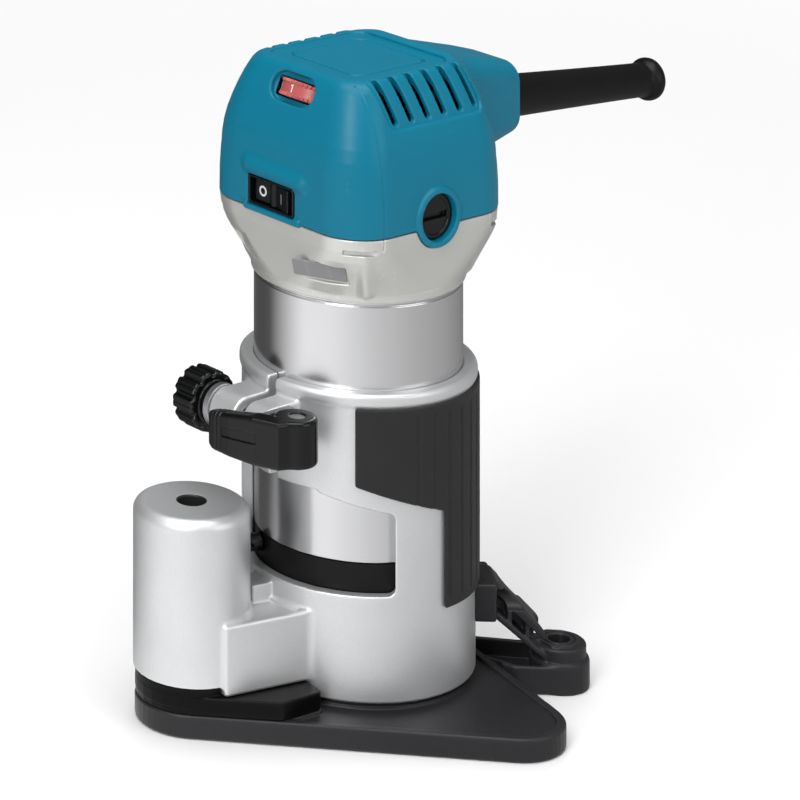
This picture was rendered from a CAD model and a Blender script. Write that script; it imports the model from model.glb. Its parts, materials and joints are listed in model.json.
import json
import math
import bpy
import bmesh
import numpy as np
from mathutils import Matrix, Vector


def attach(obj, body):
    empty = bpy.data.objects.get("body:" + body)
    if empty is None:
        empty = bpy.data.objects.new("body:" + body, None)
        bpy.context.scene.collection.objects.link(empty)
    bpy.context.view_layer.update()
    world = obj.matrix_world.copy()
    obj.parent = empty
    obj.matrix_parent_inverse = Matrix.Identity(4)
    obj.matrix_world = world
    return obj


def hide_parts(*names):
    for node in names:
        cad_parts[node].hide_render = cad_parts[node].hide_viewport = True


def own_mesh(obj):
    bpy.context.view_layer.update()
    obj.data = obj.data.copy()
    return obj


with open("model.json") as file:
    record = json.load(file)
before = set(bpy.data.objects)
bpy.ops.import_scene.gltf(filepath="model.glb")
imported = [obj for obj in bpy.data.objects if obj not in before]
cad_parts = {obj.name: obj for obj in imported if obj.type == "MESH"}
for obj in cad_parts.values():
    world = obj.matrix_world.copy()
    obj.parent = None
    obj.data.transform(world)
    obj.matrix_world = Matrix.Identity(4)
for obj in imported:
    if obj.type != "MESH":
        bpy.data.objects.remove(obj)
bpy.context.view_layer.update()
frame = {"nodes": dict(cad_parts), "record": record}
N = frame["nodes"]
F = np.float32
RES = 1.0

# angles of the part's local frames, in degrees about +Z
HEAD, CLAMP, GRIP = -80.0, -170.0, -26.5
SPX = -61.3                      # offset spindle axis


# ------------------------------------------------------------------ distance fields (mm)
def smin(a, b, k):
    h = np.clip(0.5 + 0.5 * (b - a) / k, 0, 1)
    return b * (1 - h) + a * h - k * h * (1 - h)


def smax(a, b, k):
    return -smin(-a, -b, k)


def cut(a, b, k=0.3):
    """a with b taken away, the new edge rounded by about k."""
    return smax(a, -b, k)


def rbox2(x, y, hx, hy, r):
    qx, qy = np.abs(x) - hx + r, np.abs(y) - hy + r
    return np.hypot(np.maximum(qx, 0), np.maximum(qy, 0)) + np.minimum(np.maximum(qx, qy), 0) - r


def ext(d, z, z0, z1, r=0.4):
    """a flat outline with distance d, from z0 to z1, edges rounded by r"""
    a, b = d + r, np.abs(z - (z0 + z1) / 2) - (z1 - z0) / 2 + r
    return np.minimum(np.maximum(a, b), 0) + np.hypot(np.maximum(a, 0), np.maximum(b, 0)) - r


def box(x, y, z, lo, hi, r=0.4):
    qx = np.abs(x - (lo[0] + hi[0]) / 2) - (hi[0] - lo[0]) / 2 + r
    qy = np.abs(y - (lo[1] + hi[1]) / 2) - (hi[1] - lo[1]) / 2 + r
    qz = np.abs(z - (lo[2] + hi[2]) / 2) - (hi[2] - lo[2]) / 2 + r
    out = np.sqrt(np.maximum(qx, 0) ** 2 + np.maximum(qy, 0) ** 2 + np.maximum(qz, 0) ** 2)
    return out + np.minimum(np.maximum(qx, np.maximum(qy, qz)), 0) - r


def poly(x, y, P):
    d = np.full(x.shape, 1e9, F)
    s = np.ones(x.shape, bool)
    for i in range(len(P)):
        ax, ay = P[i]
        bx, by = P[i - 1]
        ex, ey = bx - ax, by - ay
        wx, wy = x - ax, y - ay
        t = np.clip((wx * ex + wy * ey) / (ex * ex + ey * ey), 0, 1)
        d = np.minimum(d, (wx - ex * t) ** 2 + (wy - ey * t) ** 2)
        c1, c2, c3 = y >= ay, y < by, ex * wy > ey * wx
        s = s ^ ((c1 & c2 & c3) | (~c1 & ~c2 & ~c3))
    d = np.sqrt(d)
    return np.where(s, d, -d)


def hull_pts(cs, grow=0.0, n=10):
    """outline round circles [x, y, r] given counterclockwise, as points"""
    out = []
    m = len(cs)
    for i, (x, y, r) in enumerate(cs):
        px, py, pr = cs[i - 1]
        qx, qy, qr = cs[(i + 1) % m]
        a0 = math.atan2(y - py, x - px) - math.acos((pr - r) / math.hypot(x - px, y - py))
        a1 = math.atan2(qy - y, qx - x) - math.acos((r - qr) / math.hypot(qx - x, qy - y))
        while a1 < a0:
            a1 += 2 * math.pi
        for k in range(n + 1):
            a = a0 + (a1 - a0) * k / n
            out.append((x + (r + grow) * math.cos(a), y + (r + grow) * math.sin(a)))
    return out


def turn(x, y, deg):
    """point (x, y) seen from a frame turned by deg about +Z"""
    c, s = math.cos(math.radians(deg)), math.sin(math.radians(deg))
    return c * x + s * y, -s * x + c * y


def arc(x, y, a0, a1):
    """distance to the edges of the wedge between two angles, negative inside (wedge under 180 deg)"""
    n0 = (math.sin(math.radians(a0)), -math.cos(math.radians(a0)))
    n1 = (-math.sin(math.radians(a1)), math.cos(math.radians(a1)))
    return np.maximum(x * n0[0] + y * n0[1], x * n1[0] + y * n1[1])


def capsule(x, y, z, a, b, ra, rb=None):
    rb = ra if rb is None else rb
    d = [b[i] - a[i] for i in range(3)]
    L = sum(v * v for v in d)
    t = np.clip(((x - a[0]) * d[0] + (y - a[1]) * d[1] + (z - a[2]) * d[2]) / L, 0, 1)
    return np.sqrt((x - a[0] - t * d[0]) ** 2 + (y - a[1] - t * d[1]) ** 2 + (z - a[2] - t * d[2]) ** 2) - (ra + (rb - ra) * t)


# ------------------------------------------------------------------ meshing
def field_mesh(f, lo, hi, h):
    """closed quad mesh of f = 0 by dual contouring cells of size h; returns vertices (mm), quads, normals"""
    h = h * RES
    lo = np.array(lo, float) - 2.5 * h
    hi = np.array(hi, float) + 2.5 * h
    B = 8
    nb = np.ceil((hi - lo) / h / B).astype(int) + 1
    n = nb * B
    cx = [(lo[i] + (np.arange(nb[i]) * B + (B - 1) / 2) * h).astype(F) for i in range(3)]
    C = f(*np.meshgrid(*cx, indexing="ij")).astype(F)
    V = np.repeat(np.repeat(np.repeat(C, B, 0), B, 1), B, 2)
    V6 = V.reshape(nb[0], B, nb[1], B, nb[2], B)
    keep = np.argwhere(np.abs(C) < B * h * 0.866 * 1.3 + 1.2 * h)
    off = (np.arange(B) * h).astype(F)
    for s in range(0, len(keep), 1500):
        k = keep[s:s + 1500]
        p = [(lo[i] + k[:, i] * B * h).astype(F) for i in range(3)]
        x = p[0][:, None, None, None] + off[None, :, None, None] + np.zeros((1, 1, B, B), F)
        y = p[1][:, None, None, None] + off[None, None, :, None] + np.zeros((1, B, 1, B), F)
        z = p[2][:, None, None, None] + off[None, None, None, :] + np.zeros((1, B, B, 1), F)
        V6[k[:, 0], :, k[:, 1], :, k[:, 2], :] = f(x, y, z).astype(F)
    V[V == 0] = 1e-6
    S = V < 0
    c = S[:-1, :-1, :-1].astype(np.uint8)
    for a in ((1, 0, 0), (0, 1, 0), (0, 0, 1), (1, 1, 0), (1, 0, 1), (0, 1, 1), (1, 1, 1)):
        c = c + S[a[0]:n[0] - 1 + a[0], a[1]:n[1] - 1 + a[1], a[2]:n[2] - 1 + a[2]]
    act = np.argwhere((c > 0) & (c < 8))
    idx = np.full(c.shape, -1, np.int32)
    idx[act[:, 0], act[:, 1], act[:, 2]] = np.arange(len(act))
    corner = np.array([(i, j, k) for i in (0, 1) for j in (0, 1) for k in (0, 1)])
    cv = np.stack([V[act[:, 0] + q[0], act[:, 1] + q[1], act[:, 2] + q[2]] for q in corner], 1)
    acc = np.zeros((len(act), 3))
    cnt = np.zeros(len(act))
    for a in range(8):
        for b in range(a + 1, 8):
            if np.abs(corner[a] - corner[b]).sum() != 1:
                continue
            m = (cv[:, a] < 0) != (cv[:, b] < 0)
            t = cv[m, a] / (cv[m, a] - cv[m, b])
            acc[m] += corner[a] + t[:, None] * (corner[b] - corner[a])
            cnt[m] += 1
    P = lo + (act + acc / cnt[:, None]) * h
    quads = []
    for ax in range(3):
        u, v = (ax + 1) % 3, (ax + 2) % 3
        sl0 = [slice(1, -1)] * 3
        sl1 = [slice(1, -1)] * 3
        sl0[ax] = slice(0, n[ax] - 1)
        sl1[ax] = slice(1, n[ax])
        s0, s1 = S[tuple(sl0)], S[tuple(sl1)]
        e = np.argwhere(s0 != s1)
        e_off = np.array([1, 1, 1])
        e_off[ax] = 0
        g = e + e_off
        q = []
        for du, dv in ((1, 1), (0, 1), (0, 0), (1, 0)):
            w = g.copy()
            w[:, u] -= du
            w[:, v] -= dv
            q.append(idx[w[:, 0], w[:, 1], w[:, 2]])
        q = np.stack(q, 1)
        inside = s0[e[:, 0], e[:, 1], e[:, 2]]
        q[~inside] = q[~inside][:, ::-1]
        quads.append(q)
    Q = np.concatenate(quads)
    Q = Q[(Q >= 0).all(1)]
    eps = 0.3 * h
    x, y, z = (P[:, i].astype(F) for i in range(3))
    G = np.stack([f(x + eps, y, z) - f(x - eps, y, z), f(x, y + eps, z) - f(x, y - eps, z), f(x, y, z + eps) - f(x, y, z - eps)], 1)
    G /= np.maximum(np.linalg.norm(G, axis=1, keepdims=True), 1e-9)
    return P, Q, G


def build(name, P, faces, mat, body, replaces=(), normals=None, rot=0.0, at=(0, 0, 0), smooth=True):
    P = np.asarray(P, float)
    c, s = math.cos(math.radians(rot)), math.sin(math.radians(rot))
    R = np.array([[c, -s, 0], [s, c, 0], [0, 0, 1]])
    W = (P @ R.T + np.array(at)) * 0.001
    me = bpy.data.meshes.new(name)
    if isinstance(faces, np.ndarray):
        k = faces.shape[1]
        me.vertices.add(len(W))
        me.vertices.foreach_set("co", W.astype(F).ravel())
        me.loops.add(faces.size)
        me.loops.foreach_set("vertex_index", faces.astype(np.int32).ravel())
        me.polygons.add(len(faces))
        me.polygons.foreach_set("loop_start", np.arange(0, faces.size, k, dtype=np.int32))
        me.update(calc_edges=True)
        me.validate()
    else:
        me.from_pydata([tuple(v) for v in W], [], faces)
    me.polygons.foreach_set("use_smooth", [smooth] * len(me.polygons))
    if normals is not None and len(me.vertices) == len(W):
        me.normals_split_custom_set_from_vertices([tuple(v) for v in (np.asarray(normals) @ R.T)])
    me.materials.append(mat)
    o = bpy.data.objects.new(name, me)
    bpy.context.scene.collection.objects.link(o)
    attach(o, body)
    if replaces:
        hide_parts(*replaces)
    return o


def field(name, f, lo, hi, h, mat, body, replaces=(), rot=0.0):
    P, Q, G = field_mesh(f, lo, hi, h)
    return build(name, P, Q, mat, body, replaces, G, rot)


def lathe(name, prof, mat, body, replaces=(), seg=160, rot=0.0, at=(0, 0, 0), axis="z", tilt=None, angle=None, smooth_deg=32):
    """closed ring of profile points (r, z); r = 0 points close on the axis"""
    bm = bmesh.new()
    rings = []
    n = seg if angle is None else seg
    for r, z in prof:
        if r < 1e-6:
            rings.append([bm.verts.new((0, 0, z))])
        else:
            rings.append([bm.verts.new((r * math.cos(2 * math.pi * i / n), r * math.sin(2 * math.pi * i / n), z)) for i in range(n)])
    m = len(prof)
    for j in range(m):
        a, b = rings[j], rings[(j + 1) % m]
        if len(a) == 1 and len(b) == 1:
            continue
        for i in range(n):
            k = (i + 1) % n
            if len(a) == 1:
                bm.faces.new((a[0], b[k], b[i]))
            elif len(b) == 1:
                bm.faces.new((a[i], a[k], b[0]))
            else:
                bm.faces.new((a[i], a[k], b[k], b[i]))
    bmesh.ops.recalc_face_normals(bm, faces=bm.faces)
    me = bpy.data.meshes.new(name)
    bm.to_mesh(me)
    bm.free()
    M = Matrix.Identity(4)
    if tilt is not None:
        M = tilt
    M = Matrix.Translation(Vector(at)) @ M
    M = Matrix.Rotation(math.radians(rot), 4, "Z") @ M
    me.transform(Matrix.Scale(0.001, 4) @ M)
    return finish_mesh(name, me, mat, body, replaces, smooth_deg)


def finish_mesh(name, me, mat, body, replaces=(), smooth_deg=32):
    sharp(me, smooth_deg)
    me.materials.append(mat)
    o = bpy.data.objects.new(name, me)
    bpy.context.scene.collection.objects.link(o)
    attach(o, body)
    if replaces:
        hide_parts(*replaces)
    return o


def sharp(me, deg):
    """smooth shading, with edges over deg left sharp"""
    bm = bmesh.new()
    bm.from_mesh(me)
    lim = math.radians(deg)
    for f in bm.faces:
        f.smooth = True
    for e in bm.edges:
        e.smooth = not (len(e.link_faces) == 2 and e.calc_face_angle(0) > lim)
    bm.to_mesh(me)
    bm.free()


def rounded(prof, r=0.3, n=3):
    """closed profile with each corner replaced by a small arc-like fillet"""
    out = []
    m = len(prof)
    for i in range(m):
        p0, p1, p2 = np.array(prof[i - 1], float), np.array(prof[i], float), np.array(prof[(i + 1) % m], float)
        d0, d2 = p0 - p1, p2 - p1
        l0, l2 = np.linalg.norm(d0), np.linalg.norm(d2)
        if prof[i][0] < 1e-6 or l0 < 1e-6 or l2 < 1e-6:
            out.append(tuple(p1))
            continue
        k = min(r, l0 * 0.45, l2 * 0.45)
        a, b = p1 + d0 / l0 * k, p1 + d2 / l2 * k
        for t in np.linspace(0, 1, n + 1):
            q = (1 - t) ** 2 * a + 2 * t * (1 - t) * p1 + t * t * b
            out.append((float(q[0]), float(q[1])))
    return out


# ------------------------------------------------------------------ materials
def srgb(r, g, b):
    f = lambda v: (v / 255) / 12.92 if v / 255 <= 0.04045 else ((v / 255 + 0.055) / 1.055) ** 2.4
    return (f(r), f(g), f(b), 1)


class Mat:
    """a node material with coordinates in millimetres"""

    def __init__(self, name):
        self.m = bpy.data.materials.new(name)
        self.m.use_nodes = True
        self.t = self.m.node_tree
        self.t.nodes.clear()
        self.out = self.n("ShaderNodeOutputMaterial")
        self.b = self.n("ShaderNodeBsdfPrincipled")
        self.l(self.b.outputs[0], self.out.inputs[0])
        tc = self.n("ShaderNodeTexCoord")
        sc = self.n("ShaderNodeVectorMath")
        sc.operation = "SCALE"
        sc.inputs["Scale"].default_value = 1000
        self.l(tc.outputs["Object"], sc.inputs[0])
        self.co = sc.outputs[0]
        self.height = None

    def n(self, kind, **kw):
        x = self.t.nodes.new(kind)
        for k, v in kw.items():
            setattr(x, k, v)
        return x

    def l(self, a, b):
        self.t.links.new(a, b)

    def val(self, x, sock):
        if isinstance(x, (int, float)):
            sock.default_value = x
        elif isinstance(x, tuple):
            sock.default_value = x
        else:
            self.l(x, sock)

    def math(self, op, a, b=0.0, clamp=False):
        x = self.n("ShaderNodeMath", operation=op, use_clamp=clamp)
        self.val(a, x.inputs[0])
        self.val(b, x.inputs[1])
        return x.outputs[0]

    def noise(self, scale, detail=2.0, rough=0.5, vec=None, dist=0.0):
        x = self.n("ShaderNodeTexNoise")
        self.l(vec or self.co, x.inputs["Vector"])
        x.inputs["Scale"].default_value = scale
        x.inputs["Detail"].default_value = detail
        x.inputs["Roughness"].default_value = rough
        x.inputs["Distortion"].default_value = dist
        return x.outputs["Fac"]

    def voronoi(self, scale, feature="F1", vec=None):
        x = self.n("ShaderNodeTexVoronoi", feature=feature)
        self.l(vec or self.co, x.inputs["Vector"])
        x.inputs["Scale"].default_value = scale
        return x.outputs["Distance"]

    def stretch(self, sx, sy, sz):
        x = self.n("ShaderNodeVectorMath", operation="MULTIPLY")
        self.l(self.co, x.inputs[0])
        x.inputs[1].default_value = (sx, sy, sz)
        return x.outputs[0]

    def ramp(self, fac, stops):
        x = self.n("ShaderNodeValToRGB")
        self.l(fac, x.inputs[0])
        e = x.color_ramp.elements
        while len(e) < len(stops):
            e.new(0.5)
        for s, (p, c) in zip(e, stops):
            s.position = p
            s.color = c if isinstance(c, tuple) else (c, c, c, 1)
        return x.outputs[0]

    def mix(self, fac, a, b, mode="MIX"):
        x = self.n("ShaderNodeMix", data_type="RGBA", blend_type=mode)
        self.val(fac, x.inputs[0])
        self.val(a, x.inputs[6])
        self.val(b, x.inputs[7])
        return x.outputs[2]

    def set(self, name, v):
        self.val(v, self.b.inputs[name])

    def bump(self, height, strength=0.2, dist=0.1):
        """height in mm * dist; bumps chain"""
        x = self.n("ShaderNodeBump")
        x.inputs["Strength"].default_value = strength
        x.inputs["Distance"].default_value = dist * 0.001
        self.l(height, x.inputs["Height"])
        if self.height is not None:
            self.l(self.height, x.inputs["Normal"])
        self.height = x.outputs[0]
        self.l(self.height, self.b.inputs["Normal"])

    def edge_wear(self, radius=1.0):
        """1 on convex edges, 0 on flats"""
        g = self.n("ShaderNodeNewGeometry")
        return self.ramp(g.outputs["Pointiness"], [(0.5, 0.0), (0.57, 1.0)])

    def polar(self):
        """angle about the motor axis as a vector (angle * 36, z, radius)"""
        s = self.n("ShaderNodeSeparateXYZ")
        self.l(self.co, s.inputs[0])
        a = self.math("ARCTAN2", s.outputs[1], s.outputs[0])
        r = self.math("SQRT", self.math("ADD", self.math("POWER", s.outputs[0], 2.0), self.math("POWER", s.outputs[1], 2.0)))
        return a, s.outputs[2], r


def dark(c, k):
    return (c[0] * k, c[1] * k, c[2] * k, 1)


def plastic(name, col, rough=0.36, grain=2.2, depth=0.02, spec=0.5, var=0.06, wear=0.25, coat=0.0):
    m = Mat(name)
    big = m.noise(0.035, 3, 0.6)
    fine = m.noise(grain, 3, 0.6)
    pores = m.voronoi(grain * 0.55)
    c = m.mix(m.math("MULTIPLY", big, 1.0), dark(col, 1 - var), dark(col, 1 + var))
    c = m.mix(m.math("MULTIPLY", m.ramp(fine, [(0.35, 0.0), (0.75, 1.0)]), 0.10), c, dark(col, 0.72))
    light = (min(1, col[0] * 1.35 + 0.02), min(1, col[1] * 1.35 + 0.02), min(1, col[2] * 1.35 + 0.02), 1)
    c = m.mix(m.math("MULTIPLY", m.edge_wear(), wear), c, light)
    m.set("Base Color", c)
    r = m.math("ADD", m.math("MULTIPLY", m.math("SUBTRACT", fine, 0.5), 0.16), rough)
    r = m.math("ADD", r, m.math("MULTIPLY", m.math("SUBTRACT", big, 0.5), 0.10))
    m.set("Roughness", r)
    m.set("Specular IOR Level", spec)
    if coat:
        m.set("Coat Weight", coat)
        m.set("Coat Roughness", 0.25)
    m.bump(fine, 0.35, depth * 3)
    m.bump(pores, 0.25, depth * 2.4)
    return m


def cast_metal():
    m = Mat("cast_aluminium")
    base = srgb(216, 217, 218)
    big = m.noise(0.05, 4, 0.55)
    grit = m.noise(1.6, 5, 0.65)
    pit = m.voronoi(1.1)
    c = m.mix(big, dark(base, 0.90), dark(base, 1.04))
    c = m.mix(m.math("MULTIPLY", m.ramp(grit, [(0.45, 0.0), (0.8, 1.0)]), 0.14), c, dark(base, 0.65))
    c = m.mix(m.math("MULTIPLY", m.edge_wear(), 0.55), c, srgb(236, 236, 236))
    sx = m.n("ShaderNodeSeparateXYZ")
    m.l(m.co, sx.inputs[0])
    rr = m.math("ADD", m.math("POWER", m.math("ABSOLUTE", m.math("ADD", sx.outputs[0], 61.3)), 2.0), m.math("POWER", m.math("ABSOLUTE", sx.outputs[1]), 2.0))
    bore = m.math("MULTIPLY", m.math("LESS_THAN", rr, 4.75 ** 2), m.math("GREATER_THAN", sx.outputs[2], 50.0))
    c = m.mix(bore, c, (0.012, 0.012, 0.013, 1))
    m.set("Base Color", c)
    m.set("Metallic", m.math("MULTIPLY", m.math("SUBTRACT", 1.0, bore), 0.78))
    m.set("Roughness", m.math("ADD", m.math("MULTIPLY", grit, 0.22), 0.34))
    m.set("Specular IOR Level", 0.5)
    m.bump(grit, 0.30, 0.10)
    m.bump(pit, 0.16, 0.09)
    m.bump(m.noise(0.22, 3, 0.5), 0.10, 0.35)
    return m


def turned_metal(name="sleeve_aluminium", col=(206, 206, 208), rough=0.24, aniso=0.75, lines=14.0, metal=1.0, depth=0.02):
    """metal turned about +Z: fine rings, streaks, anisotropic highlight"""
    m = Mat(name)
    base = srgb(*col)
    rings = m.noise(1.0, 4, 0.6, m.stretch(0.0, 0.0, lines))
    coarse = m.noise(1.0, 2, 0.5, m.stretch(0.004, 0.004, lines * 0.12))
    blotch = m.noise(0.06, 3, 0.5)
    c = m.mix(m.math("MULTIPLY", rings, 0.4), dark(base, 1.02), dark(base, 0.84))
    c = m.mix(m.math("MULTIPLY", blotch, 0.25), c, dark(base, 0.85))
    c = m.mix(m.math("MULTIPLY", m.edge_wear(), 0.5), c, srgb(245, 245, 245))
    m.set("Base Color", c)
    m.set("Metallic", metal)
    m.set("Roughness", m.math("ADD", m.math("MULTIPLY", coarse, 0.08), rough - 0.04))
    m.set("Anisotropic", aniso)
    tan = m.n("ShaderNodeTangent")
    tan.direction_type = "RADIAL"
    tan.axis = "Z"
    m.l(tan.outputs[0], m.b.inputs["Tangent"])
    m.bump(rings, 0.2, depth)
    return m


def steel(name, col, rough=0.3, metal=1.0, scratch=0.3):
    m = Mat(name)
    base = srgb(*col)
    big = m.noise(0.25, 3, 0.6)
    s1 = m.noise(1.0, 3, 0.6, m.stretch(0.5, 6.0, 6.0))
    c = m.mix(big, dark(base, 0.88), dark(base, 1.05))
    c = m.mix(m.math("MULTIPLY", m.edge_wear(), 0.5), c, srgb(225, 225, 228))
    m.set("Base Color", c)
    m.set("Metallic", metal)
    m.set("Roughness", m.math("ADD", m.math("MULTIPLY", s1, 0.2), rough - 0.08))
    m.bump(s1, scratch, 0.03)
    return m


def rubber(name, col, rough=0.62, grain=3.0, sheen=0.12, depth=0.05, spec=0.22):
    m = Mat(name)
    big = m.noise(0.06, 3, 0.6)
    fine = m.noise(grain, 4, 0.65)
    c = m.mix(big, dark(col, 0.85), dark(col, 1.2))
    c = m.mix(m.math("MULTIPLY", m.edge_wear(), 0.35), c, dark(col, 2.0))
    c = m.mix(m.math("MULTIPLY", m.ramp(fine, [(0.5, 0.0), (0.8, 1.0)]), 0.25), c, dark(col, 1.6))
    m.set("Base Color", c)
    m.set("Roughness", m.math("ADD", m.math("MULTIPLY", fine, 0.16), rough - 0.08))
    m.set("Sheen Weight", sheen)
    m.set("Sheen Roughness", 0.5)
    m.set("Specular IOR Level", spec)
    m.bump(fine, 0.4, depth)
    return m


TEAL = srgb(0, 108, 134)
M_teal = plastic("teal_housing", TEAL, 0.36, 2.6, 0.016, spec=0.22, var=0.05, wear=0.20)
M_neck = plastic("pale_plastic", srgb(203, 203, 199), 0.33, 2.4, 0.0012, var=0.04, wear=0.15)
M_neck.set("Metallic", 0.62)
M_black = plastic("black_plastic", srgb(36, 36, 38), 0.38, 1.9, 0.03, spec=0.25, var=0.14, wear=0.35)
M_cover = plastic("cover_plastic", srgb(6, 6, 6), 0.34, 1.9, 0.03, spec=0.10, var=0.14, wear=0.35)
M_lever = plastic("lever_plastic", srgb(8, 9, 9), 0.18, 2.4, 0.008, spec=0.3, var=0.12, wear=0.3)
M_switch = plastic("switch_black", srgb(10, 12, 15), 0.26, 3.0, 0.008, spec=0.25, var=0.1, wear=0.2)
M_dial = plastic("dial_red", srgb(172, 82, 80), 0.32, 2.8, 0.012, spec=0.4, var=0.06, wear=0.3)
M_carbon = plastic("carbon", srgb(42, 42, 44), 0.6, 2.2, 0.03)
M_board = plastic("board_green", srgb(30, 92, 48), 0.35, 1.4, 0.02)
M_cast = cast_metal()
M_sleeve = turned_metal(rough=0.2, aniso=0.15, depth=0.012)
M_shaft = turned_metal("bright_steel", (176, 178, 182), 0.26, 0.5, 10.0)
M_zinc = steel("zinc_screw", (176, 178, 182), 0.3)
M_darksteel = steel("dark_steel", (84, 85, 88), 0.38)
M_core = steel("core_steel", (112, 114, 118), 0.42)
M_copper = steel("copper", (184, 104, 58), 0.35)
M_comm = turned_metal("commutator_copper", (196, 122, 72), 0.3, 0.4, 8.0)
M_brass = steel("brass", (196, 164, 92), 0.3)
M_grip = rubber("grip_rubber", srgb(34, 34, 35), 0.52, 2.2, 0.02, 0.05)
M_belt = rubber("belt_rubber", srgb(30, 30, 30), 0.7)
M_soft = rubber("soft_rubber", srgb(34, 34, 34), 0.7)
M_cord = rubber("cord_rubber", srgb(10, 10, 10), 0.38, 2.6, 0.0, 0.04, 0.2)
M_plate = plastic("nameplate_grey", srgb(132, 131, 134), 0.4, 2.4, 0.01, spec=0.3, var=0.05, wear=0.2)
M_white = plastic("print_white", srgb(206, 206, 206), 0.5, 3.0, 0.01)
M_grey = plastic("print_grey", srgb(112, 100, 104), 0.5, 3.0, 0.01)
SLOT_MAT = {"teal_housing": M_teal, "pale_plastic": M_neck, "black_plastic": M_black, "cover_plastic": M_cover,
            "lever_plastic": M_lever, "sleeve_aluminium": M_sleeve, "cast_aluminium": M_cast, "grip_rubber": M_grip,
            "belt_rubber": M_belt, "soft_rubber": M_soft, "cord_rubber": M_cord, "dial_red": M_dial, "switch_black": M_switch,
            "bright_steel": M_shaft, "dark_steel": M_darksteel, "zinc_screw": M_zinc, "core_steel": M_core, "copper": M_copper,
            "commutator_copper": M_comm, "brass": M_brass, "carbon": M_carbon, "board_green": M_board}
SLOT_MAT = {k: v.m for k, v in SLOT_MAT.items()}
for s in frame["record"]["subparts"]:
    o = N[s["node"]]
    o.data.materials.clear()
    o.data.materials.append(SLOT_MAT[s["material_slot"]])


# ------------------------------------------------------------------ head (local frame: -Y front, +X near brush cap, +Y cord)
HZ = np.array([148, 152.3, 160, 166, 171, 175, 179, 183, 187, 190.5, 194, 197.5])
HA = np.array([35, 35, 34.95, 34.7, 34.3, 33.7, 32.8, 31.5, 30.0, 28.5, 26.7, 24.4])
DIAL_T = math.radians(24)
DIAL_C = (0.0, -28.1 + 10.2 * math.cos(DIAL_T), 191 - 10.2 * math.sin(DIAL_T))
ROCK_X, ROCK_Z, BRUSH_Z = -2.5, 158.1, 155.2
GD = math.radians(4.6)
GUARD_L = 79.0


def head_skin(x, y, z, g=0.0, top=197.0):
    a = np.interp(z, HZ, HA).astype(F) - g
    r = np.interp(z, [152, 168, 180, 190, 197], [15, 15, 13.5, 11.5, 9.5]).astype(F) - 0.75 * g
    d = rbox2(x, y, a, a, r) * 0.93
    return smax(d, z - (top - g), 2.6)


def dial_local(x, y, z):
    dy, dz = y - DIAL_C[1], z - DIAL_C[2]
    return x, dy * math.cos(DIAL_T) - dz * math.sin(DIAL_T), dy * math.sin(DIAL_T) + dz * math.cos(DIAL_T)


def guard_local(x, y, z):
    """x, distance along the guard's axis, height above it"""
    dy, dz = y - 56, z - 174
    return x, dy * math.cos(GD) - dz * math.sin(GD), dy * math.sin(GD) + dz * math.cos(GD)


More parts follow.
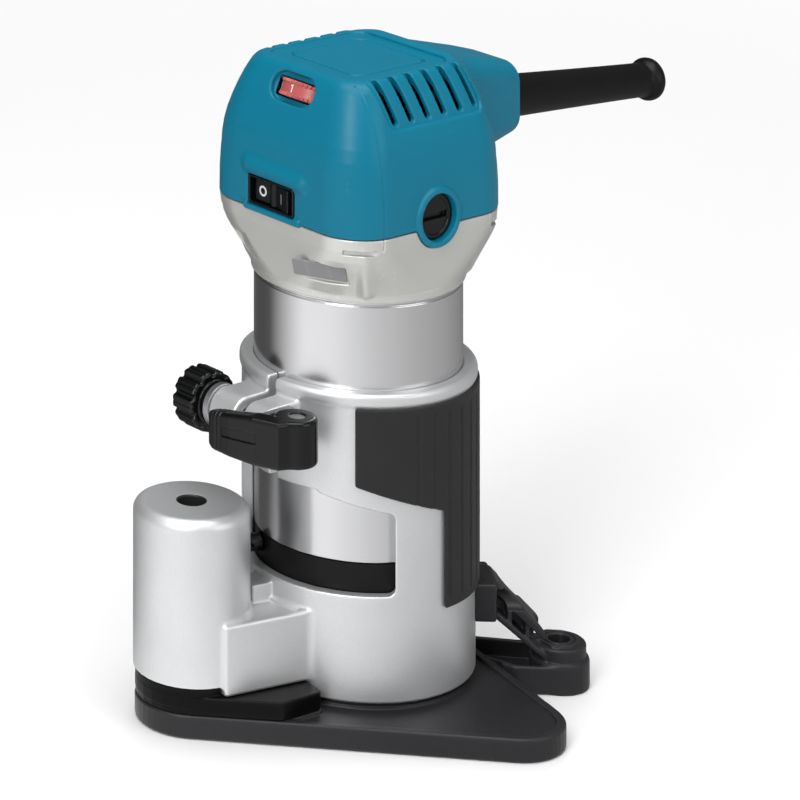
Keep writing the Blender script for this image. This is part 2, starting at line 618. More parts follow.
def head_field(x, y, z):
    d = head_skin(x, y, z)
    ax = np.abs(x)
    # scooped vent panels on both sides, running over the top edge
    vy = y - 3.2
    scoop = ext(rbox2(vy + (z - 190) * 0.22, z - 192.5, 20.6, 9.3, 3.2), ax, 23.5, 60, 0.3)
    skin_in = head_skin(x, y, z, 0.9, 200)
    d = smax(d, -smax(scoop, -skin_in, 0.2), 0.8)
    # raised brow over the switch, lip under it
    brow = capsule(x, y, z, (-12.5, -34.2, 165.6), (10.5, -34.2, 164.9), 2.0)
    d = smin(d, brow, 2.4)
    d = smax(d, 152.35 - z, 0.5)
    # flat step low on the front face beside the switch
    lip = box(x, y, z, (-14.2, -36.0, 151.6), (10.8, -30, 154.0), 0.7)
    d = smin(d, lip, 0.8)
    # cord boss
    gx, gy, gz = guard_local(x, y, z)
    gr = np.hypot(gx, gz)
    zt = np.interp(y, [22, 50, 61], [196.6, 190.2, 187.1]).astype(F)
    zb = np.interp(y, [22, 61], [160.2, 164.9]).astype(F)
    hw = np.interp(y, [22, 61], [20.3, 12.3]).astype(F)
    sec = rbox2(x, z - (zt + zb) / 2, hw, (zt - zb) / 2, 6.2) * 0.96
    boss = smax(sec, np.abs(y - 42) - 18.9, 3.2)
    d = smin(d, boss, 5.0)
    # shallow ring where the guard goes in
    d = cut(d, np.maximum(gr - 8.6, 59.9 - y), 0.5)
    d = cut(d, np.maximum(gr - 7.05, -8 - gy), 0.4)
    # brush rings
    rr = np.hypot(y, z - BRUSH_Z)
    ring = ext(rr - 9.3, ax, 28, 35.9, 0.7)
    d = smin(d, ring, 0.7)
    # hollow
    inner = smax(head_skin(x, y, z, 3.0, 196.5), -z + 100, 0.2)
    web = box(x, y, z, (-34, -14, 169), (34, 14, 176.5), 0.4)
    ring_in = ext(rr - 9.3, ax, 20, 35, 0.2)
    rib = box(x, y, z, (-0.9, -12, 183.6), (0.9, 27, 198), 0.3)
    inner = np.maximum(inner, -np.minimum(np.minimum(web, ring_in), rib))
    d = np.maximum(d, -np.maximum(inner, gr - 60))
    d = cut(d, ext(rr - 7.3, ax, 30, 50, 0.2), 0.6)
    d = cut(d, ext(rr - 6.5, ax, 10, 31, 0.1), 0.1)
    # switch window
    d = cut(d, box(x, y, z, (ROCK_X - 10.35, -45, ROCK_Z - 4.65), (ROCK_X + 10.35, -28, ROCK_Z + 4.65), 0.7), 0.5)
    # dial pocket and wheel slot
    lx, ly, lz = dial_local(x, y, z)
    pocket = ext(rbox2(lx, lz, 9.3, 4.7, 4.6), ly, -22, -8.3, 0.8)
    d = cut(d, pocket, 0.9)
    d = cut(d, ext(np.hypot(lx, ly) - 11.5, lz, -3.05, 3.05, 0.3), 0.2)
    # recessed panel and seams on the top
    d = cut(d, ext(rbox2(x, y, 20.5, 20.5, 5.0), z, 196.4, 210, 0.2), 0.5)
    d = cut(d, ext(np.abs(rbox2(x, y, 15.5, 15.5, 4.0)) - 0.35, z, 196.0, 210, 0.1), 0.2)
    # six slanted cooling slots a side
    n = np.clip(np.round((y + (z - 190) * 0.23 + 14.3) / 6.95), 0, 5)
    vy = y + (z - 190) * 0.23 + 14.3 - n * 6.95
    slot = ext(rbox2(vy, z - 190.7, 1.15, 6.5, 1.1), ax, 22, 60, 0.1)
    d = cut(d, slot, 0.5)
    # parting line of the two halves
    return d + np.where(z < 196, 0.28, 0) * np.clip(1 - np.abs(y + 22.5) / 0.42, 0, 1)


field("head_housing", head_field, (-36.5, -37, 144.5), (36.5, 63, 197.2), 0.44, M_teal.m, "base", ("head_shell",), HEAD)


def neck_field(x, y, z):
    a = np.interp(z, [129, 131.5, 134, 137.5, 141, 144.5, 148, 153], [33.2, 33.2, 33.35, 33.6, 33.95, 34.4, 34.8, 35]).astype(F)
    r = np.interp(z, [129, 131.5, 134, 137.5, 141, 144.5, 148, 153], [33.2, 33.1, 30.2, 25.9, 21.6, 18.2, 16.0, 15.0]).astype(F)
    d = rbox2(x, y, a, a, r) * 0.8
    d = smax(smax(d, z - 152.2, 0.5), 130.0 - z, 0.6)
    # bottom lip
    d = smin(d, ext(np.hypot(x, y) - 33.35, z, 130.0, 132.4, 0.5), 0.5)
    # corner slot under a ledge, a screw pillar showing as a soft ridge below it
    ax, ay = np.abs(x), np.abs(y)
    dg, dt = (ax + ay) * 0.70711, (ay - ax) * 0.70711
    d = smin(d, capsule(dg, dt, z, (40.2, -2.8, 148), (33.3, -2.8, 134.0), 2.1), 1.6)
    d = cut(d, box(dg, dt, z, (41.0, -9.6, 147.3), (60, 4.0, 148.7), 0.2), 0.25)
    # flat marking facet beside it
    u, v = turn(ax, ay, 62.7)
    ut, zt = turn(u - 36.5, z - 139.4, -24)
    d = cut(d, np.maximum(np.maximum(-ut - 0.75, np.abs(v - 0.3) - 9.1), np.abs(zt) - 3.5), 0.4)
    d = d + 0.25 * np.clip(1 - np.abs(ay - 22.5) / 0.42, 0, 1) * (z > 148.6)
    # brush notches
    rr = np.hypot(y, z - BRUSH_Z)
    d = cut(d, np.maximum(rr - 9.4, 20 - ax), 0.3)
    # hollow
    ai = np.interp(z, [129, 138, 153], [29.9, 31.2, 31.8]).astype(F)
    ri = np.interp(z, [129, 138, 146, 153], [29.8, 25.5, 18.5, 13]).astype(F)
    return np.maximum(d, -rbox2(x, y, ai, ai, ri) * 0.8)


field("neck_moulding", neck_field, (-35.2, -35.2, 130), (35.2, 35.2, 152.4), 0.32, M_neck.m, "base", ("motor_neck",), HEAD)



def name_field(x, y, z):
    u, v = turn(np.abs(x), np.abs(y), 62.7)
    ut, zt = turn(u - 36.5, z - 139.4, -24)
    return ext(rbox2(v - 0.3, zt, 8.6, 3.0, 0.7), ut, -1.1, -0.42, 0.12)


field("blank_nameplate", name_field, (4, -40, 134), (34, -18, 145), 0.2, M_plate.m, "base", (), HEAD)

# sleeve: turned tube with a stepped upper edge
pr = [(29.8, 49.5), (31.9, 49.5), (32.5, 50.1)]
pr += [(32.5, 128.4), (32.2, 128.7), (32.2, 129.1), (32.5, 129.4), (32.5, 129.95), (29.8, 129.95)]
pr_in = [(29.8, 52.5), (22.5, 52.5), (22.5, 49.5)]
lathe("sleeve_tube", rounded(pr, 0.18, 2) + pr_in, M_sleeve.m, "base", ("motor_sleeve",), 240, smooth_deg=28)


# ------------------------------------------------------------------ casting
def casting_field(x, y, z):
    r = np.hypot(x, y)
    d = ext(r - 36.3, z, 8.2, 101.5, 0.7)
    d = smin(d, ext(r - 36.95, z, 98.9, 103.0, 1.3), 1.2)
    rt = np.hypot(x - SPX, y)
    tower = smax(ext(rt - 18, z, 6, 66.5, 3.4), 15.5 - z, 0.5)
    arm = box(x, y, z, (SPX, -19.5, 13), (-20, 19.5, 34.4), 0.8)
    d = smin(smin(d, arm, 1.6), tower, 1.6)
    block = box(x, y, z, (-43, -6, 30), (-34, 3.5, 39.2), 0.6)
    d = smin(d, block, 0.6)
    xc, yc = turn(x, y, CLAMP)
    t = np.clip(xc - 30, 0, 15)
    prof = np.hypot(xc - 30 - t, z - 91.5) - 6.6
    e1 = ext(prof, yc, -12.8, -1.5, 0.9)
    e2 = ext(prof, yc, 1.5, 10.4, 0.9)
    gus = ext(poly(xc, yc, [(26, -22.5), (37.2, -12.4), (26, -12.4)]), z, 84.9, 98.1, 1.2)
    d = smin(d, smin(smin(e1, gus, 1.0), e2, 0.1), 1.6)
    # recess on top of the arm
    rec = box(x, y, z, (-62, -17.2, 33.2), (-20, 17.2, 45), 0.8)
    rec = smax(smax(smax(rec, 37.2 - r, 0.8), 18.8 - rt, 0.8), -block - 0.2, 0.5)
    d = cut(d, rec, 0.6)
    # inside
    d = cut(d, np.maximum(r - 32.56, 34 - z), 0.6)
    d = cut(d, np.maximum(r - 33.0, z - 34.1), 0.1)
    d = cut(d, box(x, y, z, (SPX, -15.7, 5), (-20, 15.7, 32.0), 0.4), 0.2)
    d = cut(d, np.maximum(rt - 15.7, z - 35), 0.2)
    d = cut(d, np.maximum(rt - 13.01, z - 60), 0.1)
    d = cut(d, np.maximum(rt - 4.3, 55 - z), 0.7)
    d = cut(d, box(x, y, z, (-44, -15.9, 0), (-26, 15.9, 13.0), 0.2), 0.2)
    # window: a band towards the tower and a flat-sided opening at the front
    band = np.maximum(ext(arc(x, y, 150, 216), z, 41, 72, 0.8), np.abs(r - 34) - 6)
    u, v = turn(x, y, -130)
    front = np.maximum(poly(v, z, WIN), 24 - u)
    d = cut(d, smin(band, front, 0.3), 0.6)
    # slit and screw bore
    d = cut(d, np.maximum(np.maximum(np.abs(yc) - 1.5, np.abs(xc - 40 + np.where(z < 76, 6, 0)) - np.where(z < 76, 6, 14)), 60 - z), 0.5)
    d = cut(d, np.maximum(np.hypot(xc - 45, z - 91.5) - 3.25, np.abs(yc) - 20), 0.4)
    return d


WIN = hull_pts([(-12, 43.2, 2.2), (12.1, 43.5, 2.5), (12.4, 64.2, 2.2), (-12, 69.7, 2.2)], 0.0, 6)
field("base_casting", casting_field, (-79.5, -37.5, 8), (37.5, 37.5, 103.2), 0.5, M_cast.m, "base", ("base_housing",))


# ------------------------------------------------------------------ rubber cover with upright ribs
CUT1 = [(-20, 20), (14.6, 20), (14.6, 65.2), (-15.2, 74.9), (-20, 74.9)]
CUT2 = [(20, 20), (20, 74.9), (15.2, 74.9), (-14.6, 65.2), (-14.6, 20)]


def grip_field(x, y, z):
    r = np.hypot(x, y)
    th = np.degrees(np.arctan2(y, x))
    # shallow upright grooves behind a plain front part
    ph = np.abs((th + 94.6 + 4.6) % 9.2 - 4.6) * 0.655
    groove = np.clip(1 - (ph / 0.85) ** 2, 0, 1) * 0.42 * np.clip((98.0 - np.abs(th)) / 1.0, 0, 1)
    ends = np.clip(np.minimum(z - 37.2, 96.6 - z) / 1.2, 0, 1)
    shell = np.maximum(r - (37.62 - groove * ends), 36.31 - r)
    d = smax(shell, np.abs(z - 66.9) - 31.8, 0.5)
    u1, v1 = turn(x, y, -102)
    p1 = np.maximum(poly(v1, z, CUT1), 20 - u1)
    u2, v2 = turn(x, y, 94.4)
    p2 = np.maximum(poly(v2, z, CUT2), 20 - u2)
    d = smax(smax(d, -p1, 0.6), -p2, 0.6)
    # ends of the sheet on the tower's side
    t = (th + 360) % 360
    away = np.minimum(np.abs((t - 234.4 + 180) % 360 - 180), np.abs((t - 118 + 180) % 360 - 180)) * 0.65
    inside = (t > 234.4) | (t < 118)
    return smax(d, np.where(inside, -away, away), 0.5)


field("ribbed_rubber_cover", grip_field, (-37.8, -37.8, 34.8), (37.8, 37.8, 98.9), 0.44, M_grip.m, "base", ("rubber_grip",))


# ------------------------------------------------------------------ plate and cover
PLATE = [(SPX, 0, 17.5), (19, -55.5, 15.5), (8, 0, 31), (19, 55.5, 15.5)]
COVER = [(SPX, 0, 17.3), (-47, -27.4, 2), (-33.5, -25.6, 2), (-33.5, 25.6, 2), (-47, 27.4, 2)]
PLATE_P, COVER_P = hull_pts(PLATE, 0, 14), hull_pts(COVER, 0, 8)


def plate_field(x, y, z):
    pd = poly(x, y, PLATE_P)
    d = ext(pd, z, 0, 7.3, 0.9)
    r = np.hypot(x, y)
    # raised rim and shallow recess, a step round the casting
    rec = smax(pd + 3.0, 6.15 - z, 0.5)
    rec = smax(rec, 35.6 - r, 0.8)
    rec = smax(rec, -(poly(x, y, COVER_P) - 0.4), 0.6)
    d = smax(d, -rec, 0.5)
    d = smin(d, ext(np.abs(r - 31.1) - 3.5, z, 6.2, 8.2, 0.4), 0.4)
    d = cut(d, np.maximum(np.maximum(np.abs(y) - 15.9, np.abs(x + 35) - 9), 7.2 - z), 0.1)
    rt = np.hypot(x - SPX, y)
    d = cut(d, rt - 12, 0.8)
    for a in (60, 120, 240, 300):
        s = np.hypot(x - 29.6 * math.cos(math.radians(a)), y - 29.6 * math.sin(math.radians(a)))
        d = cut(d, np.maximum(np.minimum(s - 2.1, (s - 4.2 + z * 0.93) * 0.73), z - 9), 0.1)
    return d


field("sole_plate", plate_field, (-79, -71.2, 0), (39.2, 71.2, 8.4), 0.46, M_black.m, "base", ("base_plate",))


def cover_field(x, y, z):
    r, rt = np.hypot(x, y), np.hypot(x - SPX, y)
    cd = poly(x, y, COVER_P)
    d = smax(ext(cd, z, 7.4, 12.95, 0.5), 36.45 - r, 0.3)
    skirt = np.maximum(ext(rt - 17.3, z, 9, 15.4, 0.4), x - SPX)
    side = np.maximum(np.maximum(ext(rt - 17.3, z, 9, 15.4, 0.4), -ext(np.abs(y) - 19.6, z, 5, 40, 0.1)), 0)
    d = smin(d, skirt, 0.4)
    d = smin(d, np.maximum(np.maximum(np.abs(y) - 15.8, np.abs(x + 35.5) - 9.5), np.abs(z - 10.65) - 2.25), 0.1)
    d = smin(d, ext(r - 32.9, z, 8.3, 11.3, 0.3), 0.1)
    d = cut(d, np.maximum(rt - 12, z - 40), 0.5)
    for a in (60, 120, 240, 300):
        d = cut(d, np.hypot(x - 30 * math.cos(math.radians(a)), y - 30 * math.sin(math.radians(a))) - 4.15, 0.1)
    d = cut(d, np.maximum(rt - 15.9, 13.0 - z), 0.2)
    return d


field("under_cover", cover_field, (-79, -30, 7), (33.2, 30, 15.6), 0.45, M_cover.m, "base", ("belt_cover",))


# ------------------------------------------------------------------ bracket of the auxiliary grip (local frame: +X outward)
FOOT = [(36, -8, 6), (42, -26, 4), (56.2, -28, 9.2), (50, -17, 5)]
FOOT_P = hull_pts(FOOT, 0, 8)
BR = 62.8


def bracket_field(x, y, z):
    r = np.hypot(x, y)
    fd = poly(x, y, FOOT_P)
    foot = ext(fd, z, 0, 8.6, 0.7)
    foot = smax(foot, -ext(fd + 1.8, z, 3.2, 20, 0.4), 0.5)
    u, v = turn(x, y, GRIP)
    rb = np.hypot(u - BR, v)
    boss = smin(ext(rb - 8.4, z, 0, 13.6, 0.6), ext(rb - 6.2, z, 0, 14.4, 0.5), 0.3)
    boss = smin(boss, smax(ext(rb - 9.2, z, 0, 9.4, 0.6), -60 - z, 0.1), 0.4)
    block = box(u, v, z, (33, -9.5, 22.6), (41.9, 9.5, 34.4), 0.9)
    web = ext(poly(u, z, [(37, 33), (41.9, 33), (BR - 1, 13), (BR - 1, 8), (44, 21), (37, 23.4)]), v, -1.5, 1.5, 0.4)
    top = ext(poly(u, z, [(38.5, 34.2), (42.3, 34.2), (BR, 13.4), (BR, 10.8), (39.3, 32.0)]), v, -6.4, 6.4, 0.8)
    low = ext(poly(u, z, [(38, 25), (42.9, 24.4), (BR - 5, 11.6), (BR - 5, 9.2), (42.3, 22.2), (38, 22.9)]), v, -6.4, 6.4, 0.8)
    d = smin(smin(foot, boss, 1.2), smin(block, smin(web, smin(top, low, 0.6), 1.0), 1.0), 1.2)
    # stiffening ribs across the strut
    for q in (46.5, 52.0):
        zt = 34.2 - (q - 42.3) * (34.2 - 13.4) / (BR - 42.3)
        rib = box(u, v, z, (q - 0.7, -6.0, zt - 9.5), (q + 0.7, 6.0, zt - 1.5), 0.3)
        d = smin(d, rib, 0.6)
    d = cut(d, np.maximum(rb - 8.2, 14.35 - z), 0.1)
    d = smax(d, np.where(z > 1.0, 36.36 - r, -9), 0.3)
    d = smax(d, -np.maximum(poly(x, y, PLATE_P) - 0.15, z - 8.4), 0.2)
    d = smax(d, -np.maximum(r - 39.2, np.abs(z - 12) - 4.0), 0.2)
    d = cut(d, np.maximum(rb - 3.4, 2.4 - z), 0.5)
    d = cut(d, ext(np.abs(rb - 4.9) - 0.35, z, 13.9, 20, 0.1), 0.2)
    for s in (-5.6, 5.6):
        q = np.hypot(v - s, z - 28.4)
        d = cut(d, np.minimum(q - 1.7, np.maximum(q - 3.25, 39.6 - u)), 0.3)
    return d


field("grip_bracket", bracket_field, (28, -40, 0), (66, -2, 35), 0.36, M_black.m, "base", ("grip_attachment",))


# ------------------------------------------------------------------ clamp (local frame: +X out of the slit, +Y from nut to lever)
CX, CY, CZ = 45.0, 20.0, 91.5
LEVER = [(0.5, 5.6), (9.9, 2.2), (13.4, -6), (14.6, -15), (14.7, -22.4), (13.2, -25.2), (10.2, -25), (8.9, -22), (8.3, -15), (7.3, -9.6), (4.9, -3.6), (-2, 0)]


def lever_field(x, y, z):
    u, v, w = x - CX, y - CY, z - CZ
    plan = smin(np.hypot(u - 0.4, v + 0.3) - 6.8, poly(u, v, LEVER), 0.8)
    top = 7.4 - np.maximum(-8 - v, 0) * 0.185
    d = smax(smax(plan, w - top, 1.6), -7.2 - w, 1.6)
    # finger hollow, waist on the outer face
    d = cut(d, np.hypot(u - 3.9, v + 17.6) - 4.9, 0.8)
    side = poly(u, v, LEVER)
    d = cut(d, np.maximum(np.maximum(np.abs(v + 11.5) - 6.6, -side - 0.6), np.abs(w - 0.6 + (v + 11.5) * -0.09) - 1.5), 0.35)
    # fork
    slot = np.minimum(np.hypot(u, v) - 5.0, poly(u, v, [(3.3, 0), (3.3, -9.5), (-9.5, -9.5), (-9.5, 5), (0.5, 3.4)]))
    d = cut(d, ext(slot, w, -3.1, 3.1, 0.2), 0.3)
    d = cut(d, np.hypot(u, v) - 2.52, 0.4)
    # grip lines on the tip
    n = np.abs(((v + 40) % 1.7) - 0.85)
    lines = np.where((v < -18.0) & (v > -23.6), np.clip(1 - n / 0.42, 0, 1) * 0.28, 0)
    return d + lines * (u > 9)


field("cam_lever", lever_field, (CX - 8, CY - 31, CZ - 8), (CX + 15.5, CY + 8, CZ + 8), 0.26, M_lever.m, "lever", ("clamp_lever",), CLAMP)


def nut_field(x, y, z):
    u, w = x - CX, z - CZ
    r = np.hypot(u, w)
    a = np.degrees(np.arctan2(w, u))
    k = np.abs(((a + 720) % 36) - 18) / 18
    rim = 9.5 - 1.15 * np.clip(1 - (k / 0.42) ** 2, 0, 1) - 0.25 * np.clip((k - 0.7) / 0.3, 0, 1) ** 2
    body = ext(r - rim, y, -26.5, -17.4, 1.0)
    neck = ext(r - 6.4, y, -18.5, -14.92, 0.4)
    d = smin(body, neck, 0.8)
    d = cut(d, np.maximum(r - 6.0, y + 25.7), 0.4)
    return cut(d, r - 3.02, 0.3)


field("tension_nut", nut_field, (CX - 10, -27, CZ - 10), (CX + 10, -14.5, CZ + 10), 0.24, M_lever.m, "tension_nut", ("clamp_nut",), CLAMP)


# ------------------------------------------------------------------ switch, dial, brush caps
ROCK = Matrix.Translation((ROCK_X, -32.4, 0)) @ Matrix.Rotation(math.radians(-7), 4, "Z")


def rocker_field(x, y, z):
    u, v = turn(x - ROCK_X, y + 32.4, -7)
    w = z - ROCK_Z
    face = -1.15 - np.abs(u) / 8.4 * 1.0 - 0.0
    d = smax(smax(np.abs(u) - 8.4, np.abs(w) - 3.55, 0.8), smax(face - v, v - 0.6, 0.3), 0.5)
    d = smin(d, ext(np.hypot(u, v) - 1.9, w, -3.5, 3.5, 0.2), 0.2)
    return cut(d, np.hypot(u, v) - 0.7, 0.1)


field("rocker_cap", rocker_field, (ROCK_X - 9, -36, ROCK_Z - 4), (ROCK_X + 9, -30, ROCK_Z + 4), 0.17, M_switch.m, "rocker", ("switch_rocker",), HEAD)


def bezel_field(x, y, z):
    u, w = x - ROCK_X, z - ROCK_Z
    d = ext(rbox2(u, w, 10.25, 4.55, 0.8), y, -35.15, -29, 0.45)
    d = smin(d, box(u, y, w, (-9.6, -29.5, -4.4), (9.6, -20, 4.4), 0.3), 0.1)
    return cut(d, ext(rbox2(u, w, 9.3, 3.72, 0.5), y, -60, -29.8, 0.2), 0.5)


field("switch_bezel", bezel_field, (ROCK_X - 11, -36, ROCK_Z - 5), (ROCK_X + 11, -19.5, ROCK_Z + 5), 0.24, M_switch.m, "base", ("switch_body",), HEAD)


def stroke(name, pts, width, depth, M, mat, body, closed=False, rot=HEAD):
    """raised mark: a flat ribbon along points in the local X-Z plane, its back sunk a little"""
    bm = bmesh.new()
    n = len(pts)
    front, back = [], []
    for i in range(n):
        p = np.array(pts[i], float)
        a = np.array(pts[i - 1] if (i or closed) else pts[i], float)
        b = np.array(pts[(i + 1) % n] if (i < n - 1 or closed) else pts[i], float)
        t = (b - a) / max(np.linalg.norm(b - a), 1e-9)
        q = np.array([-t[1], t[0]]) * width / 2
        for lst, yy in ((front, -depth), (back, depth * 1.5)):
            lst.append((bm.verts.new((p[0] + q[0], yy, p[1] + q[1])), bm.verts.new((p[0] - q[0], yy, p[1] - q[1]))))
    m = n if closed else n - 1
    for i in range(m):
        k = (i + 1) % n
        f, g, e, h = front[i], front[k], back[i], back[k]
        bm.faces.new((f[0], g[0], g[1], f[1]))
        bm.faces.new((e[0], e[1], h[1], h[0]))
        bm.faces.new((f[0], e[0], h[0], g[0]))
        bm.faces.new((f[1], g[1], h[1], e[1]))
    if not closed:
        bm.faces.new((front[0][0], front[0][1], back[0][1], back[0][0]))
        bm.faces.new((front[-1][0], back[-1][0], back[-1][1], front[-1][1]))
    bmesh.ops.recalc_face_normals(bm, faces=bm.faces)
    me = bpy.data.meshes.new(name)
    bm.to_mesh(me)
    bm.free()
    me.transform(Matrix.Scale(0.001, 4) @ Matrix.Rotation(math.radians(rot), 4, "Z") @ M)
    return finish_mesh(name, me, mat, body)


tip = math.atan(1.0 / 8.4)
ML = ROCK @ Matrix.Translation((-4.7, -1.72, ROCK_Z)) @ Matrix.Rotation(tip, 4, "Z")
MR = ROCK @ Matrix.Translation((4.7, -1.72, ROCK_Z)) @ Matrix.Rotation(-tip, 4, "Z")
stroke("mark_off", [(1.35 * math.cos(a), 1.35 * math.sin(a)) for a in np.linspace(0, 2 * math.pi, 25)[:-1]], 0.62, 0.07, ML, M_white.m, "rocker", True)
stroke("mark_on", [(0, -1.5), (0, 0), (0, 1.5)], 0.55, 0.07, MR, M_grey.m, "rocker")


def wheel_field(x, y, z):
    lx, ly, lz = dial_local(x, y, z)
    r = np.hypot(lx, ly)
    a = np.degrees(np.arctan2(ly, lx))
    k = np.abs(((a + 720) % 7.5) - 3.75) / 3.75
    rim = 10.4 + 0.5 * np.clip(1.3 - k * 1.6, 0, 1) * np.clip((np.abs(lz) - 1.5) / 0.25, 0, 1)
    d = ext(r - rim, lz, -2.7, 2.7, 0.45)
    d = cut(d, ext(np.abs(r - 6.2) - 2.2, lz, 2.0, 9, 0.3), 0.3)
    return cut(d, np.maximum(r - 1.53, lz + 0.6), 0.1)


field("dial_wheel", wheel_field, (-11, DIAL_C[1] - 11.5, DIAL_C[2] - 8), (11, DIAL_C[1] + 11.5, DIAL_C[2] + 8), 0.22, M_dial.m, "dial", ("speed_dial",), HEAD)

DIGITS = {"1": [(-0.5, 0.7), (0.1, 1.3), (0.1, -1.3)],
          "2": [(-0.7, 0.8), (-0.3, 1.25), (0.35, 1.25), (0.7, 0.75), (0.5, 0.2), (-0.7, -1.25), (0.75, -1.25)],
          "3": [(-0.65, 1.1), (0.1, 1.3), (0.65, 0.8), (0.45, 0.2), (-0.1, 0.05), (0.5, -0.15), (0.7, -0.75), (0.1, -1.3), (-0.7, -1.05)],
          "4": [(0.35, -1.3), (0.35, 1.3), (-0.8, -0.4), (0.8, -0.4)],
          "5": [(0.7, 1.25), (-0.55, 1.25), (-0.65, 0.15), (0.1, 0.3), (0.7, -0.2), (0.6, -0.9), (0.0, -1.3), (-0.7, -1.0)],
          "6": [(0.55, 1.2), (-0.1, 1.1), (-0.65, 0.2), (-0.65, -0.7), (-0.1, -1.3), (0.55, -1.0), (0.65, -0.4), (0.2, 0.1), (-0.55, -0.15)]}
DM = Matrix.Translation(DIAL_C) @ Matrix.Rotation(-DIAL_T, 4, "X")
for i, (k, pts) in enumerate(DIGITS.items()):
    # wheel turns about local Z; digit faces out of the rim
    M = DM @ Matrix.Rotation(math.radians(-i * 48 + 0), 4, "Z") @ Matrix.Translation((0, -10.42, 0))
    fine = []
    for a, b in zip(pts[:-1], pts[1:]):
        fine += [(a[0] + (b[0] - a[0]) * t, a[1] + (b[1] - a[1]) * t) for t in (0, 0.5)]
    fine.append(pts[-1])
    stroke("dial_digit_" + k, fine, 0.42, 0.06, M, M_white.m, "dial")


def cap_field(x, y, z):
    ax = np.abs(x)
    w = z - BRUSH_Z
    r = np.hypot(y, w)
    d = ext(r - 7.2, ax, 30.2, 33.9, 0.6)
    d = cut(d, np.maximum(r - 5.6, 33.45 - ax), 0.4)
    d = cut(d, np.maximum(np.maximum(np.abs(w) - 0.85, np.abs(y) - 5.2), 32.0 - ax), 0.3)
    return d


field("brush_cap_pair", cap_field, (-34.5, -7.5, BRUSH_Z - 7.5), (34.5, 7.5, BRUSH_Z + 7.5), 0.3, M_lever.m, "base", ("brush_caps",), HEAD)

# cord guard: tapering sleeve with a bead at the mouth
pg = [(6.95, 0), (6.95, 5), (6.85, 9.5), (6.5, 22), (6.1, 40), (5.75, 58), (5.52, GUARD_L - 6.6), (5.75, GUARD_L - 5.2), (6.45, GUARD_L - 4.5), (6.95, GUARD_L - 3.2),
      (6.98, GUARD_L - 2.2), (6.75, GUARD_L - 1.0), (6.1, GUARD_L - 0.2), (5.5, GUARD_L), (4.6, GUARD_L), (4.15, GUARD_L - 0.5), (4.06, GUARD_L - 1.6), (4.06, 0)]
lathe("cord_guard_moulding", rounded(pg, 0.5, 3), M_cord.m, "base", ("cord_guard",), 96, rot=HEAD, at=(0, 56, 174),
      tilt=Matrix.Rotation(math.radians(-94.6), 4, "X"), smooth_deg=40)

# spring behind the lock button, drawn as a coil that closes up as the button goes in
turns, seg, ring = 6.0, 26, 8
P, Q = [], []
n = int(turns * seg)
for i in range(n + 1):
    t = i / n
    a = 2 * math.pi * turns * t
    c = np.array([14.45 + 9.5 * t, 2.3 * math.cos(a), 2.3 * math.sin(a)])
    tang = np.array([9.5 / (2 * math.pi * turns), -2.3 * math.sin(a), 2.3 * math.cos(a)])
    tang /= np.linalg.norm(tang)
    n1 = np.array([0, math.cos(a), math.sin(a)])
    n2 = np.cross(tang, n1)
    for k in range(ring):
        b = 2 * math.pi * k / ring
        P.append(c + 0.28 * (n1 * math.cos(b) + n2 * math.sin(b)))
    if i:
        for k in range(ring):
            m = (k + 1) % ring
            o0, o1 = (i - 1) * ring, i * ring
            Q.append((o0 + k, o1 + k, o1 + m, o0 + m))
Q.append(tuple(range(ring)))
Q.append(tuple(n * ring + k for k in range(ring - 1, -1, -1)))
spring = build("lock_spring_coil", [(p[0], p[1], p[2] + 46.45) for p in P], Q, M_zinc.m, "base", ("shaft_lock_spring",), None, 168.0)
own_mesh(spring)

# ------------------------------------------------------------------ floor, light, camera
bm = bmesh.new()
prof = [(0, 0), (0.3, 0), (0.8, 0), (2.0, 0), (6.0, 0)]
rings = []
for r, z in prof:
    rings.append([bm.verts.new((r * math.cos(a), r * math.sin(a), z - 0.00005)) for a in np.linspace(0, 2 * math.pi, 65)[:-1]] if r else [bm.verts.new((0, 0, z - 0.00005))])
for a, b in zip(rings[:-1], rings[1:]):
    for i in range(64):
        k = (i + 1) % 64
        bm.faces.new((a[0], b[i], b[k]) if len(a) == 1 else (a[i], b[i], b[k], a[k]))
me = bpy.data.meshes.new("studio_floor")
bm.to_mesh(me)
bm.free()
floor = bpy.data.objects.new("studio_floor", me)
bpy.context.scene.collection.objects.link(floor)
fm = Mat("pale_floor")
fm.set("Base Color", fm.mix(fm.noise(0.004, 2, 0.5), (0.80, 0.80, 0.80, 1), (0.83, 0.83, 0.83, 1)))
fm.set("Roughness", 0.55)
fm.set("Specular IOR Level", 0.25)
me.materials.append(fm.m)

FWD = Vector((0.4077, 0.9131, 0.0)).normalized()
RIGHT = Vector((FWD.y, -FWD.x, 0.0))
UP = Vector((0, 0, 1))
# brightness of the room seen by shiny parts, by bearing from the camera (degrees, left negative)
ROOM = [(-180, 0.16), (-150, 0.09), (-118, 0.10), (-92, 0.70), (-70, 1.25), (-40, 1.22), (-18, 1.05), (5, 0.86), (50, 0.62), (90, 0.50), (125, 0.34), (155, 0.19), (180, 0.16)]


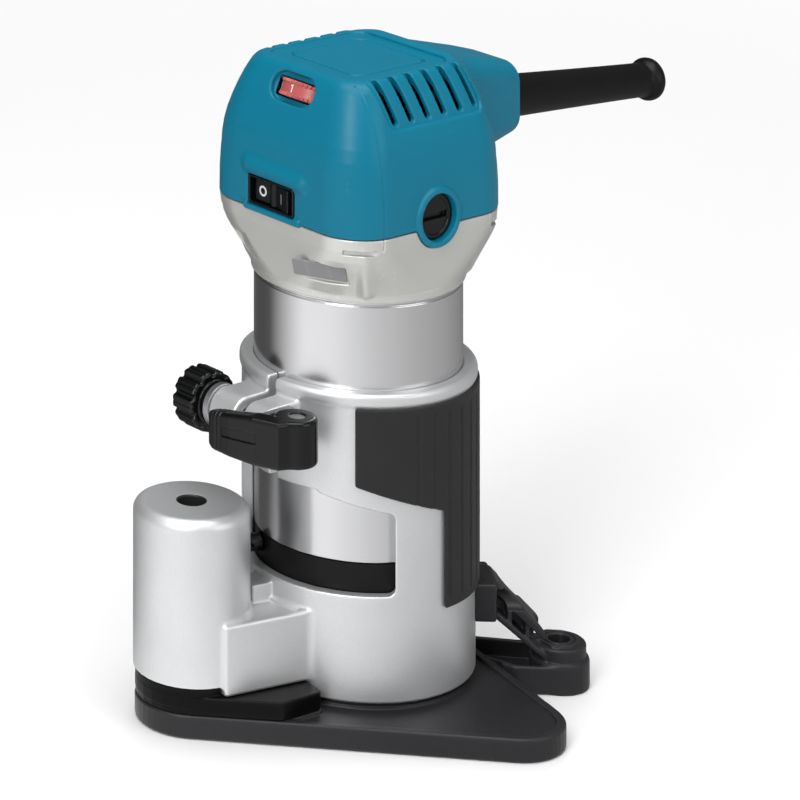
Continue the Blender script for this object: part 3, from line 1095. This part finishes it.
def bearing(t, vec):
    """brightness from the bearing of a vector socket, in node tree t"""
    def dotn(v):
        x = t.nodes.new("ShaderNodeVectorMath")
        x.operation = "DOT_PRODUCT"
        t.links.new(vec, x.inputs[0])
        x.inputs[1].default_value = tuple(v)
        return x.outputs["Value"]
    a = t.nodes.new("ShaderNodeMath")
    a.operation = "ARCTAN2"
    t.links.new(dotn(RIGHT), a.inputs[0])
    t.links.new(dotn(-FWD), a.inputs[1])
    g = t.nodes.new("ShaderNodeMapRange")
    g.inputs["From Min"].default_value = -math.pi
    g.inputs["From Max"].default_value = math.pi
    t.links.new(a.outputs[0], g.inputs["Value"])
    r = t.nodes.new("ShaderNodeValToRGB")
    e = r.color_ramp.elements
    while len(e) < len(ROOM):
        e.new(0.5)
    for q, (p, v) in zip(e, ROOM):
        q.position = (p + 180) / 360
        q.color = (v / 1.3, v / 1.3, v / 1.3, 1)
    t.links.new(g.outputs[0], r.inputs[0])
    return r.outputs[0]


ft = fm.t
fg = ft.nodes.new("ShaderNodeNewGeometry")
fe = ft.nodes.new("ShaderNodeEmission")
fe.inputs["Strength"].default_value = 1.3
ft.links.new(bearing(ft, fg.outputs["Position"]), fe.inputs["Color"])
fp = ft.nodes.new("ShaderNodeLightPath")
fx = ft.nodes.new("ShaderNodeMixShader")
ft.links.new(fp.outputs["Is Glossy Ray"], fx.inputs[0])
ft.links.new(fm.b.outputs[0], fx.inputs[1])
ft.links.new(fe.outputs[0], fx.inputs[2])
# far from the tool the floor runs out into the white background
fl = ft.nodes.new("ShaderNodeVectorMath")
fl.operation = "LENGTH"
ft.links.new(fg.outputs["Position"], fl.inputs[0])
fr = ft.nodes.new("ShaderNodeMapRange")
fr.interpolation_type = "SMOOTHSTEP"
fr.inputs["From Min"].default_value = 0.4
fr.inputs["From Max"].default_value = 1.1
ft.links.new(fl.outputs["Value"], fr.inputs["Value"])
fc = ft.nodes.new("ShaderNodeMath")
fc.operation = "MULTIPLY"
ft.links.new(fr.outputs[0], fc.inputs[0])
ft.links.new(fp.outputs["Is Camera Ray"], fc.inputs[1])
fw = ft.nodes.new("ShaderNodeEmission")
fw.inputs["Color"].default_value = (1, 1, 1, 1)
fw.inputs["Strength"].default_value = 1.0
fy = ft.nodes.new("ShaderNodeMixShader")
ft.links.new(fc.outputs[0], fy.inputs[0])
ft.links.new(fx.outputs[0], fy.inputs[1])
ft.links.new(fw.outputs[0], fy.inputs[2])
ft.links.new(fy.outputs[0], fm.out.inputs[0])


def area(name, pos, target, size, power, color=(1, 1, 1), size_y=None):
    L = bpy.data.lights.new(name, "AREA")
    L.shape = "RECTANGLE"
    L.size = size
    L.size_y = size_y or size
    L.energy = power
    L.color = color
    o = bpy.data.objects.new(name, L)
    bpy.context.scene.collection.objects.link(o)
    o.location = pos
    d = Vector(target) - Vector(pos)
    o.rotation_euler = d.to_track_quat("-Z", "Y").to_euler()
    return o


C0 = Vector((-0.01, 0, 0.1))
area("key_left", C0 - FWD * 1.25 - RIGHT * 0.75 + UP * 1.0, C0, 0.55, 17, size_y=1.1)
area("fill_right", C0 - FWD * 1.0 + RIGHT * 1.2 + UP * 0.6, C0, 1.0, 5.5)
area("top_soft", C0 + UP * 1.7 - FWD * 0.15, C0, 1.5, 26)
area("back_rim", C0 + FWD * 1.5 + RIGHT * 0.3 + UP * 1.3, C0, 1.2, 9).visible_glossy = False

world = bpy.data.worlds.new("studio")
bpy.context.scene.world = world
world.use_nodes = True
wt = world.node_tree
wt.nodes.clear()
wo = wt.nodes.new("ShaderNodeOutputWorld")
bgc = wt.nodes.new("ShaderNodeBackground")
bgs = wt.nodes.new("ShaderNodeBackground")
mx = wt.nodes.new("ShaderNodeMixShader")
lp = wt.nodes.new("ShaderNodeLightPath")
tc = wt.nodes.new("ShaderNodeTexCoord")
bgd = wt.nodes.new("ShaderNodeBackground")
bgd.inputs[0].default_value = (0.62, 0.62, 0.63, 1)
bgd.inputs[1].default_value = 0.5
mg = wt.nodes.new("ShaderNodeMixShader")
wt.links.new(bearing(wt, tc.outputs["Generated"]), bgs.inputs[0])
bgs.inputs[1].default_value = 0.8
wt.links.new(lp.outputs["Is Glossy Ray"], mg.inputs[0])
wt.links.new(bgd.outputs[0], mg.inputs[1])
wt.links.new(bgs.outputs[0], mg.inputs[2])
bgc.inputs[0].default_value = (1, 1, 1, 1)
bgc.inputs[1].default_value = 1.0
wt.links.new(lp.outputs["Is Camera Ray"], mx.inputs[0])
wt.links.new(mg.outputs[0], mx.inputs[1])
wt.links.new(bgc.outputs[0], mx.inputs[2])
wt.links.new(mx.outputs[0], wo.inputs[0])

cam = bpy.data.cameras.new("camera")
cam.sensor_width = 36
cam.lens = 185.5
cam.shift_x = 0.978
cam.shift_y = -1.899
cam.clip_start = 0.05
cam.clip_end = 50
co = bpy.data.objects.new("camera", cam)
bpy.context.scene.collection.objects.link(co)
co.matrix_world = Matrix(((RIGHT.x, 0, -FWD.x, -0.7432), (RIGHT.y, 0, -FWD.y, -1.0918), (0, 1, 0, 0.56726), (0, 0, 0, 1)))
bpy.context.scene.camera = co
# the lens shift belongs to this one viewpoint: it drops to nothing when the camera stands anywhere else
for channel, amount in (("shift_x", cam.shift_x), ("shift_y", cam.shift_y)):
    drv = cam.driver_add(channel).driver
    drv.type = "SCRIPTED"
    for k, axis in enumerate("xyz"):
        v = drv.variables.new()
        v.name = "c" + axis
        v.targets[0].id = co
        v.targets[0].data_path = "location." + axis
    drv.expression = "%.6f * (abs(cx - %.6f) + abs(cy - %.6f) + abs(cz - %.6f) < 0.001)" % ((amount,) + tuple(co.location))
bpy.context.scene.view_settings.view_transform = "Standard"
